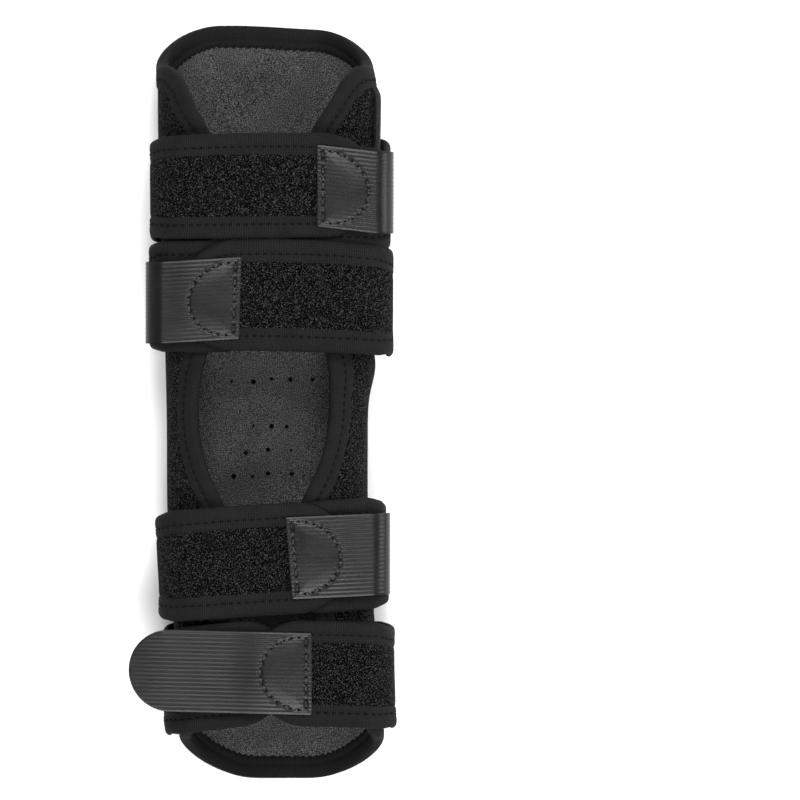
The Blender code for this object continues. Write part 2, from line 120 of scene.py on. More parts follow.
class Shelf:
    def __init__(self, name):
        self.material = bpy.data.materials.new(name)
        self.material.use_nodes = True
        self.tree = self.material.node_tree
        self.shader = self.tree.nodes["Principled BSDF"]

    def add(self, kind, settings=None, inputs=None, output=0):
        node = self.tree.nodes.new(kind)
        for name, value in (settings or {}).items():
            if name == "stops":
                ramp = node.color_ramp
                while len(ramp.elements) < len(value):
                    ramp.elements.new(0.5)
                for element, (place, colour) in zip(ramp.elements, value):
                    element.position, element.color = place, (*colour, 1.0)
            else:
                setattr(node, name, value)
        for name, value in (inputs or {}).items():
            self.feed(node.inputs[name], value)
        return Wire(self, node.outputs[output])

    def feed(self, socket, value):
        if isinstance(value, Wire):
            self.tree.links.new(value.socket, socket)
        else:
            socket.default_value = value

    def objectCoords(self):
        return self.add("ShaderNodeTexCoord", output="Object")

    def cloth(self, axis):
        uv = self.add("ShaderNodeUVMap", {"uv_map": "cloth"})
        return self.add("ShaderNodeSeparateXYZ", inputs={0: uv}, output=axis)

    def noise(self, scale, detail, rough, vector, distort=0.0):
        return self.add("ShaderNodeTexNoise", None, {
            "Scale": scale, "Detail": detail, "Roughness": rough, "Distortion": distort, "Vector": vector})

    def maths(self, operation, first, second=0.0):
        return self.add("ShaderNodeMath", {"operation": operation}, {0: first, 1: second})

    def wave(self, value, pitch):
        return self.maths("SINE", value * (2 * math.pi / pitch)) * 0.5 + 0.5

    def ranged(self, value, low, high, toLow=0.0, toHigh=1.0):
        return self.add("ShaderNodeMapRange", {"interpolation_type": "SMOOTHSTEP"}, {
            "Value": value, "From Min": low, "From Max": high, "To Min": toLow, "To Max": toHigh})

    def ramp(self, value, stops):
        return self.add("ShaderNodeValToRGB", {"stops": stops}, {0: value})

    def moved(self, vector, offset, scale=(1, 1, 1)):
        return self.add("ShaderNodeMapping", None, {"Vector": vector, "Location": offset, "Scale": scale})

    def bump(self, height, distance):
        return self.add("ShaderNodeBump", None, {"Height": height, "Distance": distance})

    def finish(self, colour, roughness, normal, metallic=0.0, specular=0.5):
        self.feed(self.shader.inputs["Base Color"], colour)
        self.feed(self.shader.inputs["Roughness"], roughness)
        self.feed(self.shader.inputs["Normal"], normal)
        self.shader.inputs["Metallic"].default_value = metallic
        self.shader.inputs["Specular IOR Level"].default_value = specular
        return self.material


def grey(value, tint=0.0):
    return (value, value, value * (1 + tint))


def makeLoopFabric():
    # napped loops: short curls standing over a black ground, their light colour a painted highlight that
    # stands in for glints on the black loops
    values = {"scale": 2150.0, "grain": 5200.0, "low": 0.47, "high": 0.60, "dark": 0.0003, "middle": 0.008,
              "thread": 0.041, "depth": 0.0007}
    shelf = Shelf("loopFabric")
    coords = shelf.objectCoords()
    curls = shelf.noise(values["scale"], 1.0, 0.5, coords, 0.8)
    finer = shelf.noise(values["scale"] * 1.7, 1.0, 0.5, shelf.moved(coords, (0.31, 0.17, 0.23)), 0.5)
    loopsAndGlints = shelf.ranged(curls * 0.75 + finer * 0.25, values["low"], values["high"])
    grain = shelf.noise(values["grain"], 2.0, 0.6, coords)
    tone = loopsAndGlints * shelf.ranged(grain, 0.3, 0.7, 0.7, 1.0)
    # the light thread stop is painted highlight, glints on the black loops; the same curl mask also drives
    # the real bump and roughness
    stops = [(0.0, grey(values["dark"])), (0.45, grey(values["middle"])), (1.0, grey(values["thread"], 0.03))]
    colour = shelf.ramp(tone, stops)
    roughness = shelf.ranged(loopsAndGlints, 0.0, 1.0, 0.95, 0.6)
    return shelf.finish(colour, roughness, shelf.bump(loopsAndGlints + grain * 0.12, values["depth"]), specular=0.03)


def makeKnit(name, dark, light, ribPitch, ribShare, coursePitch, depth, wander=1.6, fuzz=0.3, level=0.06):
    # ribs run across the tape, one for each ribPitch of its length
    shelf = Shelf(name)
    coords = shelf.objectCoords()
    drift = shelf.noise(260.0, 2.0, 0.5, coords) * wander
    rib = shelf.wave(shelf.cloth("X") + drift * ribPitch, ribPitch)
    course = shelf.wave(shelf.cloth("Y") + drift * coursePitch + rib * (coursePitch * 0.3), coursePitch)
    fluff = shelf.noise(2600.0, 3.0, 0.65, coords)
    patches = shelf.noise(130.0, 3.0, 0.6, coords)
    height = rib * ribShare + course * (1 - ribShare) + (fluff - 0.5) * (2 * fuzz)
    tone = height * shelf.ranged(patches, 0.3, 0.7, 0.8, 1.05)
    colour = shelf.ramp(tone, [(0.0, grey(dark)), (1.0, grey(light, 0.02))])
    roughness = shelf.ranged(fluff, 0.3, 0.7, 0.95, 0.75)
    return shelf.finish(colour, roughness, shelf.bump(height, depth), specular=level)


def makeLining():
    # a fine knit of small bright loops in uneven rows
    values = {"grain": 3100.0, "row": 0.00078, "dark": 0.008, "middle": 0.045, "light": 0.180,
              "depth": 0.00025}
    shelf = Shelf("liningKnit")
    coords = shelf.objectCoords()
    drift = shelf.noise(300.0, 2.0, 0.5, coords) * (values["row"] * 4)
    along = shelf.wave(shelf.cloth("X") + drift, values["row"])
    rows = along * shelf.wave(shelf.cloth("Y") + drift, values["row"])
    speckle = shelf.ranged(shelf.noise(values["grain"], 2.0, 0.6, coords), 0.38, 0.62)
    patches = shelf.noise(60.0, 3.0, 0.6, coords)
    height = speckle * 0.75 + rows * 0.25
    tone = height * shelf.ranged(patches, 0.3, 0.7, 0.88, 1.05)
    stops = [(0.0, grey(values["dark"])), (0.45, grey(values["middle"])), (1.0, grey(values["light"]))]
    roughness = shelf.ranged(speckle, 0.0, 1.0, 0.95, 0.8)
    normal = shelf.bump(height, values["depth"])
    return shelf.finish(shelf.ramp(tone, stops), roughness, normal, specular=0.06)


def makeHookPlastic():
    values = {"teethPitch": 0.0009, "speck": 2200.0, "haze": 110.0, "dark": 0.0025, "light": 0.006,
              "smooth": 0.28, "rough": 0.34, "depth": 0.00005}
    shelf = Shelf("hookPlastic")
    coords = shelf.objectCoords()
    teeth = shelf.wave(shelf.cloth("X"), values["teethPitch"])
    speck = shelf.noise(values["speck"], 3.0, 0.6, coords)
    haze = shelf.noise(values["haze"], 3.0, 0.5, shelf.moved(coords, (0, 0, 0), (0.5, 1.2, 1)))
    wear = speck * 0.4 + haze * 0.6
    colour = shelf.ramp(wear, [(0.3, grey(values["dark"])), (0.7, grey(values["light"], 0.05))])
    roughness = shelf.ranged(wear, 0.35, 0.65, values["smooth"], values["rough"])
    normal = shelf.bump(teeth * 0.12 + speck, values["depth"])
    return shelf.finish(colour, roughness, normal, specular=0.145)


def makePlain(name, dark, light, scale, depth, rough, level=0.3):
    shelf = Shelf(name)
    coords = shelf.objectCoords()
    grain = shelf.noise(scale, 4.0, 0.65, coords)
    patches = shelf.noise(scale * 0.06, 3.0, 0.6, coords)
    colour = shelf.ramp(grain * 0.7 + patches * 0.3, [(0.3, grey(dark)), (0.7, grey(light))])
    roughness = shelf.ranged(grain, 0.3, 0.7, rough * 0.85, min(rough * 1.15, 1.0))
    return shelf.finish(colour, roughness, shelf.bump(grain, depth), specular=level)


def makeBrushed():
    shelf = Shelf("stayAluminium")
    streaks = shelf.noise(300.0, 4.0, 0.6, shelf.moved(shelf.objectCoords(), (0, 0, 0), (8.0, 0.15, 8.0)))
    colour = shelf.ramp(streaks, [(0.3, grey(0.55, 0.03)), (0.7, grey(0.78, 0.02))])
    roughness = shelf.ranged(streaks, 0.3, 0.7, 0.28, 0.45)
    return shelf.finish(colour, roughness, shelf.bump(streaks, 0.00003), metallic=1.0)


finishes = {
    "loop": makeLoopFabric(),
    "binding": makeKnit("bindingKnit", dark=0.003, light=0.0135, ribPitch=0.00062, ribShare=0.85,
                        coursePitch=0.0011, depth=0.00016),
    "lining": makeLining(),
    "tape": makeKnit("wovenTape", dark=0.004, light=0.02, ribPitch=0.0009, ribShare=0.5,
                     coursePitch=0.0014, depth=0.0002),
    "hook": makeHookPlastic(),
    "foam": makePlain("foam", dark=0.004, light=0.010, scale=1500.0, depth=0.0002, rough=0.9),
    "thread": makePlain("thread", dark=0.0020, light=0.0050, scale=2500.0, depth=0.00008, rough=0.6,
                        level=0.03),
    "stay": makeBrushed(),
}
print("finishes ready")


def smooth(value, low, high):
    share = np.clip((value - low) / (high - low), 0.0, 1.0)
    return share * share * (3 - 2 * share)


def asArrays(*values):
    return np.broadcast_arrays(*(np.asarray(value, float) for value in values))


def through(points, y):
    # a smooth line through the points, given in mm, which run from high y to low
    ys, reaches = np.array(points).T * 0.001
    slopes = np.gradient(reaches, ys)
    y = np.clip(y, ys[-1], ys[0])
    at = np.clip(np.searchsorted(-ys, -y, side="right") - 1, 0, len(ys) - 2)
    span = ys[at + 1] - ys[at]
    t = (y - ys[at]) / span
    return ((2 * t**3 - 3 * t**2 + 1) * reaches[at] + (t**3 - 2 * t**2 + t) * slopes[at] * span
            + (3 * t**2 - 2 * t**3) * reaches[at + 1] + (t**3 - t**2) * slopes[at + 1] * span)


def follow(parts, s, heading):
    # straight and round stretches that turn clockwise, with the outside on the left
    u, z, turn = np.zeros_like(s), np.zeros_like(s), np.full_like(s, heading)
    done = 0.0
    for index, (kind, size) in enumerate(parts):
        length = size if kind == "straight" else size * math.pi / 2
        low = -np.inf if index == 0 else 0.0
        high = np.inf if index == len(parts) - 1 else length
        here = np.clip(s - done, low, high)
        if kind == "straight":
            u += np.cos(turn) * here
            z += np.sin(turn) * here
        else:
            bend = here / size
            u += size * (np.sin(turn) - np.sin(turn - bend))
            z += size * (np.cos(turn - bend) - np.cos(turn))
            turn = turn - bend
        done += length
    return u, z, turn


def lengthOf(parts):
    return sum(size if kind == "straight" else size * math.pi / 2 for kind, size in parts)


def ripple(s, y, seed):
    # slow unevenness of padded cloth, between about -1 and 1
    a, b = s / 0.031 + seed * 1.7, y / 0.017 + seed * 0.9
    cross, slow = np.sin(1.9 * a - b + seed), np.sin(1.1 * b + 2.3 * seed)
    return (np.sin(a + 0.6 * np.sin(b)) + 0.6 * cross + 0.5 * slow) / 2.1


def useOnly(piece):
    deselect()
    bpy.context.view_layer.objects.active = piece
    piece.select_set(True)


def editAll(piece, *steps):
    useOnly(piece)
    bpy.ops.object.mode_set(mode="EDIT")
    bpy.ops.mesh.select_all(action="SELECT")
    for step in steps:
        step()
    bpy.ops.object.mode_set(mode="OBJECT")


def mergeDoubles():
    bpy.ops.mesh.remove_doubles(threshold=0.00001)
    bpy.ops.mesh.dissolve_degenerate(threshold=0.00001)


def clothGrid(name, columns, rows, formed, flat, finish):
    # a flat grid, formed by moving its vertices: formed(i, j) takes the steps along and across
    deselect()
    bpy.ops.mesh.primitive_grid_add(x_subdivisions=columns, y_subdivisions=rows, size=1.0)
    piece = bpy.context.object
    piece.name = piece.data.name = name
    mesh = piece.data
    corners = np.empty(len(mesh.vertices) * 3)
    mesh.vertices.foreach_get("co", corners)
    i = np.rint((corners[0::3] + 0.5) * columns).astype(int)
    j = np.rint((corners[1::3] + 0.5) * rows).astype(int)
    mesh.vertices.foreach_set("co", np.ascontiguousarray(formed(i, j), float).ravel())
    uv = np.stack(flat(i, j), axis=1)
    mesh.uv_layers[0].name = "cloth"
    loops = np.empty(len(mesh.loops), int)
    mesh.loops.foreach_get("vertex_index", loops)
    mesh.uv_layers[0].data.foreach_set("uv", np.ascontiguousarray(uv[loops], float).ravel())
    mesh.update()
    mesh.materials.append(finishes[finish])
    return piece


def thicken(piece, here, outward, thick, angle=50):
    # the face nearest to one known point shows which way the cloth looks
    here, outward = Vector(here), Vector(outward)
    face = min(piece.data.polygons, key=lambda p: (p.center - here).length_squared)
    if face.normal.dot(outward) < 0:
        editAll(piece, bpy.ops.mesh.flip_normals)
    useOnly(piece)
    wall = piece.modifiers.new("thickness", "SOLIDIFY")
    wall.thickness, wall.offset = thick, -1.0
    bpy.ops.object.modifier_apply(modifier="thickness")
    bpy.ops.object.shade_smooth_by_angle(angle=math.radians(angle))
    return piece


def probe(place, s, y, depth=0.0):
    here = place(np.array([s]), np.array([y]), np.array([depth]))[0]
    above = place(np.array([s]), np.array([y]), np.array([depth - 0.0002]))[0]
    return here, above - here


stitchValues = {"sides": 8, "rings": 6, "radius": 0.00034, "flatness": 0.8, "bow": 0.9, "ends": 0.7}


def makeStitchShape():
    deselect()
    sides, rings = stitchValues["sides"], stitchValues["rings"]
    bpy.ops.mesh.primitive_uv_sphere_add(segments=sides, ring_count=rings, radius=1)
    return bpy.context.object


stitchShape = makeStitchShape()


def copyStitch(name):
    row = stitchShape.copy()
    row.data = stitchShape.data.copy()
    row.name = row.data.name = name
    bpy.context.scene.collection.objects.link(row)
    return row


def stitchRow(name, body, place, s, y, runS, runY, length,
              radius=stitchValues["radius"], depth=0.0):
    # one thread stitch at each place, lying along its run and bowed up in its middle
    step = 0.0002
    here = place(s, y, np.full_like(s, depth))
    runs = place(s + runS * step, y + runY * step, np.full_like(s, depth)) - here
    ups = place(s, y, np.full_like(s, depth - step)) - here
    runs = runs / np.linalg.norm(runs, axis=1, keepdims=True)
    ups = ups - runs * np.sum(ups * runs, axis=1, keepdims=True)
    ups = ups / np.linalg.norm(ups, axis=1, keepdims=True)
    sides = np.cross(ups, runs)
    base = np.array([vertex.co for vertex in stitchShape.data.vertices])
    along = np.sign(base[:, 2]) * np.abs(base[:, 2]) ** stitchValues["ends"]
    bow = radius * stitchValues["bow"] * (1 - along**2)
    points = (here[:, None] + runs[:, None] * (along * length / 2)[None, :, None]
              + sides[:, None] * (base[:, 0] * radius)[None, :, None]
              + ups[:, None] * (base[:, 1] * radius * stitchValues["flatness"] + bow)[None, :, None])
    row = copyStitch(name)
    polygons = stitchShape.data.polygons
    faces = [[v + n * len(base) for v in polygon.vertices] for n in range(len(s)) for polygon in polygons]
    row.data.clear_geometry()
    row.data.from_pydata(points.reshape(-1, 3).tolist(), [], faces)
    row.data.materials.append(finishes["thread"])
    editAll(row, lambda: bpy.ops.mesh.normals_make_consistent(inside=False))
    bpy.ops.object.shade_smooth()
    if body:
        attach(row, body)
    return row


def alongPath(s, y, pitch, margin):
    # even places along a path, with the path's direction at each
    lengths = np.concatenate([[0.0], np.cumsum(np.hypot(np.diff(s), np.diff(y)))])
    spots = np.arange(margin, lengths[-1] - margin, pitch)
    sA, sB = (np.interp(spots + step, lengths, s) for step in (-0.0002, 0.0002))
    yA, yB = (np.interp(spots + step, lengths, y) for step in (-0.0002, 0.0002))
    size = np.hypot(sB - sA, yB - yA)
    return (sA + sB) / 2, (yA + yB) / 2, (sB - sA) / size, (yB - yA) / size


bandValues = {
    "thick": 0.0030, "backCorner": 0.0253, "strapCorner": 0.0140, "flapCorner": 0.0120, "tabCorner": 0.0065,
    "hingeZ": 0.054, "spread": 0.035, "crown": 0.0008, "ripple": 0.00030,
    "slope": 0.06, "stitchInset": 0.0053, "stitchPitch": 0.0029, "stitchLength": 0.0017,
    "stitchDepth": 0.00044, "narrow": 0.06, "narrowFrom": -0.0045, "narrowTo": 0.0012,
}
# how each band was pulled, in mm: the strap's shift along the guard at its start, middle and end, its half
# height at its ends and its middle, the shift of the flap and of the tab at their two ends; then, in
# metres, how much further the flap reaches, and how far the band and its tab lean over
bandShapes = {
    1: {"strap": (0.3, 1.7, 1.4), "tall": (18.9, 19.7), "flap": (-4.0, -1.8), "tab": (1.6, -0.9),
        "reach": 0.0, "lean": (0.0, 0.0)},
    2: {"strap": (-2.0, 1.1, 0.3), "tall": (20.2, 21.0), "flap": (1.1, 0.6), "tab": (0.1, -1.6),
        "reach": 0.0, "lean": (0.0, -0.03)},
    3: {"strap": (-0.2, 0.3, 0.4), "tall": (20.4, 20.9), "flap": (0.7, 0.0), "tab": (0.5, 0.0),
        "reach": 0.0, "lean": (0.05, 0.085)},
    4: {"strap": (-0.6, 0.7, 1.0), "tall": (19.8, 19.8), "flap": (-3.2, 3.0), "tab": (0.7, 2.3),
        "reach": 0.004, "lean": (0.035, 0.0)},
}
# the folded tape as (mm in from the edge, mm down from the outer face), over its outer half
foldShape = ((8.3, 0.44), (8.0, 0.18), (7.4, 0.04), (6.6, 0.02), (6.0, 0.14), (5.6, 0.34), (5.3, 0.44),
             (5.0, 0.34), (4.5, 0.10), (3.6, -0.08), (2.6, -0.10), (1.6, 0.02), (0.9, 0.28), (0.4, 0.66),
             (0.1, 1.10))
tapeValues = {"thick": 0.00045, "scallop": 0.00012, "uneven": 0.00016, "lumps": 0.00007, "pinch": 0.00016,
              "pinchWidth": 0.0014, "looseFrom": 0.0058, "looseTo": 0.0083}
padValues = {"depth": 0.0006, "rise": 0.0005, "riseFrom": 0.0062, "riseTo": 0.0100, "lumps": 0.0001,
             "inset": 0.0006, "step": 0.0012, "rows": 44, "thick": 0.0018}
seamValues = {"count": 13, "half": 0.016, "place": 0.0025, "length": 0.8, "depth": 0.00035}


def foldProfile(total):
    outer = np.array(foldShape) * 0.001
    inner = outer[::-1].copy()
    inner[:, 1] = total - inner[:, 1]
    return np.concatenate([outer, [[0.0, total / 2]], inner])


def bandFacts(number):
    back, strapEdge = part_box(f"band_{number}_back"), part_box(f"strap_{number}_binding")
    flapEdge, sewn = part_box(f"under_flap_{number}_binding"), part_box(f"hook_tab_{number}_sewn_end")
    thick = bandValues["thick"]
    centre = (back[0].x + back[1].x) / 2
    side = 1 if number in (1, 3) else -1
    strapX = strapEdge[1].x if side > 0 else strapEdge[0].x
    flapX = flapEdge[0].x if side > 0 else flapEdge[1].x
    tabX = sewn[0].x if side > 0 else sewn[1].x
    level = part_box("hook_tab_1_sewn_end")
    tabHalf = (level[1].y - level[0].y) / 2
    return {
        "number": number, "centre": centre, "side": side, "middle": (back[1].x - back[0].x) / 2 - thick / 2,
        # the band is 40 mm tall where its hook tape is 30.5
        "y": (back[0].y + back[1].y) / 2, "half": tabHalf * 40 / 30.5,
        "strapZ": strapEdge[1].z - thick / 2, "flapZ": flapEdge[1].z - thick / 2,
        "apex": side * (strapX - centre), "flapEnd": -side * (flapX - centre),
        "tabStart": side * (tabX - centre), "tabZ": (sewn[0].z + sewn[1].z) / 2, "tabHalf": tabHalf,
        "tabThick": sewn[1].z - sewn[0].z, "freeEnd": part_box(f"hook_tab_{number}_free_end"),
        "slope": bandValues["slope"] if number == 3 else 0.0,
    }


bands = {number: bandFacts(number) for number in bandShapes}


def pulled(s, start, end, values):
    # a smooth shift through two or three values between start and end
    share = np.clip((s - start) / (end - start), -0.1, 1.1)
    first, middle, last = values if len(values) == 3 else (values[0], sum(values) / 2, values[1])
    curve = (first * (1 - share) * (1 - 2 * share) + middle * 4 * share * (1 - share)
             + last * share * (2 * share - 1))
    return curve * 0.001 * smooth(s, start - bandValues["spread"], start)


def bandPlace(facts, kind):
    level, corner, hand = ((facts["strapZ"], bandValues["strapCorner"], facts["side"]) if kind == "strap"
                           else (facts["flapZ"], bandValues["flapCorner"], -facts["side"]))
    thick, backCorner = bandValues["thick"], bandValues["backCorner"]
    floorUp = thick / 2 + backCorner
    parts = (("straight", facts["middle"] - backCorner), ("round", backCorner),
             ("straight", level - corner - floorUp), ("round", corner), ("straight", 1.0))
    hingeS, frontS = lengthOf(parts[:2]) + bandValues["hingeZ"] - floorUp, lengthOf(parts[:4])
    shape = bandShapes[facts["number"]]
    end = facts["apex"] if kind == "strap" else facts["flapEnd"] + shape["reach"]
    endS = frontS + end + facts["middle"] - corner
    seed = facts["number"] + (0.5 if kind == "strap" else 0.0)
    tall = np.array(shape["tall"]) * 0.001 / facts["half"]

    def place(s, y, depth):
        s, y, depth = asArrays(s, y, depth)
        u, z, turn = follow(parts, s, math.pi)
        front = smooth(s, hingeS, frontS + 0.004)
        crown = bandValues["crown"] * (1.0 if kind == "strap" else 0.3)
        out = thick / 2 - depth + crown * front * (1 - (y / facts["half"]) ** 2)
        out = out + bandValues["ripple"] * front * ripple(s, y, seed)
        x = facts["centre"] + hand * (u - np.sin(turn) * out)
        bulge = np.sin(np.clip((s - hingeS) / (endS - hingeS), 0, 1) * math.pi)
        loose = smooth(s, hingeS - bandValues["spread"], hingeS)
        height = 1 + (tall[0] + (tall[1] - tall[0]) * bulge - 1) * loose
        narrow = smooth(np.abs(x - facts["centre"]) - facts["middle"],
                        bandValues["narrowFrom"], bandValues["narrowTo"])
        height = height * (1 - bandValues["narrow"] * narrow)
        shift = pulled(s, hingeS, endS, shape[kind]) + facts["slope"] * (x - facts["centre"])
        x = x - shape["lean"][0] * y * loose
        return np.stack([x, facts["y"] + y * height + shift, z + thick / 2 + np.cos(turn) * out], axis=-1)

    return place, hand, endS


def strapOutline(endS, half, step=0.0011):
    # the bound edge, up one side, round the end and back down the other, with the way in from the edge
    runTo = endS - half
    runs = np.arange(0.0, runTo, step)
    angles = np.linspace(math.pi / 2, -math.pi / 2, int(math.pi * half / step))
    s = np.concatenate([runs, runTo + half * np.cos(angles), runs[::-1]])
    y = np.concatenate([np.full_like(runs, half), half * np.sin(angles), np.full_like(runs, -half)])
    inS = np.concatenate([np.zeros_like(runs), -np.cos(angles), np.zeros_like(runs)])
    inY = np.concatenate([np.full_like(runs, -1.0), -np.sin(angles), np.full_like(runs, 1.0)])
    return s, y, inS, inY


def edgeTape(name, outline, place, profile, seed, closed=False, scallop=tapeValues["scallop"]):
    s, y, inS, inY = outline
    lengths = np.concatenate([[0.0], np.cumsum(np.hypot(np.diff(s), np.diff(y)))])
    count, rows = len(s), len(profile)
    down = np.concatenate([[0.0], np.cumsum(np.hypot(*np.diff(profile, axis=0).T))])
    inset, pitch = bandValues["stitchInset"], bandValues["stitchPitch"]
    values = tapeValues

    def formed(i, j):
        w, depth = profile[j, 0], profile[j, 1]
        inner = j > rows / 2
        beat = np.sin(2 * math.pi * lengths[i] / pitch)
        uneven = ripple(lengths[i] * 3.1, w * 2.0, seed + 3.0)
        wave = np.where(inner, scallop, values["scallop"]) * beat + values["uneven"] * uneven
        w = w + smooth(w, values["looseFrom"], values["looseTo"]) * wave
        pinch = np.exp(-(((w - inset) / values["pinchWidth"]) ** 2))
        lumps = pinch * values["pinch"] * beat + values["lumps"] * uneven
        depth = depth + np.where(inner, -1.0, 1.0) * lumps
        return place(s[i] + inS[i] * w, y[i] + inY[i] * w, depth)

    tape = clothGrid(name, count - 1, rows - 1, formed, lambda i, j: (lengths[i], down[j]), "binding")
    if closed:
        editAll(tape, mergeDoubles)
    k = count // 3
    here, outward = probe(place, s[k] + inS[k] * 0.003, y[k] + inY[k] * 0.003)
    return thicken(tape, here, outward, values["thick"])


def edgeStitches(name, outline, place, depth, body=None, inset=None):
    s, y, inS, inY = outline
    w = inset or bandValues["stitchInset"]
    places = alongPath(s + inS * w, y + inY * w, bandValues["stitchPitch"], 0.002)
    return stitchRow(name, body, place, *places, bandValues["stitchLength"], depth=depth)


def padPiece(name, place, endS, half):
    values = padValues
    columns, rows = int(endS / values["step"]), values["rows"]
    radius, centreS = half - values["inset"], endS - half

    def pattern(i, j):
        share = i / columns * (centreS + radius * math.pi / 2)
        angle = np.clip((share - centreS) / radius, 0, math.radians(88))
        tall = radius * np.cos(angle)
        return np.minimum(share, centreS) + radius * np.sin(angle), (j / rows * 2 - 1) * tall, angle

    def formed(i, j):
        s, y, angle = pattern(i, j)
        edge = np.where(angle > 0, radius - np.hypot(s - centreS, y), radius - np.abs(y))
        rise = values["rise"] + values["lumps"] * ripple(s * 4, y * 3, 2.0)
        return place(s, y, values["depth"] - rise * smooth(edge, values["riseFrom"], values["riseTo"]))

    pad = clothGrid(name, columns, rows, formed, lambda i, j: pattern(i, j)[:2], "loop")
    return thicken(pad, *probe(place, centreS * 0.6, 0.0), values["thick"])


def makeBand(number):
    facts = bands[number]
    for kind, label, cad, body in (("strap", f"strap{number}", "strap", f"strap_{number}"),
                                   ("flap", f"underFlap{number}", "under_flap", f"under_flap_{number}")):
        place, hand, endS = bandPlace(facts, kind)
        outline = strapOutline(endS, facts["half"])
        pad = padPiece(f"{label}Pad", place, endS, facts["half"])
        tape = edgeTape(f"{label}Binding", outline, place, foldProfile(bandValues["thick"]), number)
        stitches = edgeStitches(f"{label}Stitches", outline, place, bandValues["stitchDepth"])
        seamY = np.linspace(-seamValues["half"], seamValues["half"], seamValues["count"])
        across, along = np.zeros_like(seamY), np.ones_like(seamY)
        stitchRow(f"{label}BackSeam", "root", place, across + seamValues["place"], seamY, across, along,
                  bandValues["stitchLength"] * seamValues["length"], depth=seamValues["depth"])
        for piece in (pad, tape, stitches):
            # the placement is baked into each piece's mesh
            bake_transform(piece)
        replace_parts(pad, f"{cad}_{number}_pad")
        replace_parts(tape, f"{cad}_{number}_binding")
        if kind == "strap":
            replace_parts(pad, f"band_{number}_back")
    makeTab(number)
    print("band", number, "made")


tabValues = {
    "ribs": 20, "ribHeight": 0.000065, "ribFade": 0.75, "perRib": 6, "columns": 170, "rim": 0.0006,
    "thick": 0.0009, "cornerCut": 0.0005, "stitchPitch": 0.0029, "stitchLength": 0.00105,
    "stitchRadius": 0.00036, "stitchDepth": 0.00026, "dInset": 0.0021, "dDepth": 0.0171, "dHalf": 0.0136,
    "groove": 0.00030, "grooveWidth": 0.0006, "pillow": 0.00016, "ripple": 0.00035, "rimDrop": 0.0001,
    "flatten": 0.75, "sewnFrom": 0.017, "sewnTo": 0.032, "sewnEnd": 0.024,
}


def stitchedD():
    # down the square end, then round the arc
    values = tabValues
    line = np.linspace(-values["dHalf"], values["dHalf"], 60)
    angles = np.linspace(math.pi / 2, -math.pi / 2, 120)
    s = values["dInset"] + np.concatenate([np.zeros(60), values["dDepth"] * np.cos(angles[1:]) ** 0.9])
    return s, np.concatenate([line, values["dHalf"] * np.sin(angles[1:])])


def tabLine(facts):
    low, high = facts["freeEnd"]
    outerX = high.x if facts["side"] > 0 else low.x
    reach = facts["side"] * (outerX - facts["centre"])
    if high.z - low.z < 0.005:
        return (("straight", 1.0),), reach - facts["tabStart"]  # the free tab sticks straight out
    corner = bandValues["tabCorner"]
    across = reach - facts["tabThick"] / 2 - corner - facts["tabStart"]
    length = across + corner * (math.pi / 2 - 1) + facts["tabZ"] - low.z
    return (("straight", across), ("round", corner), ("straight", 1.0)), length


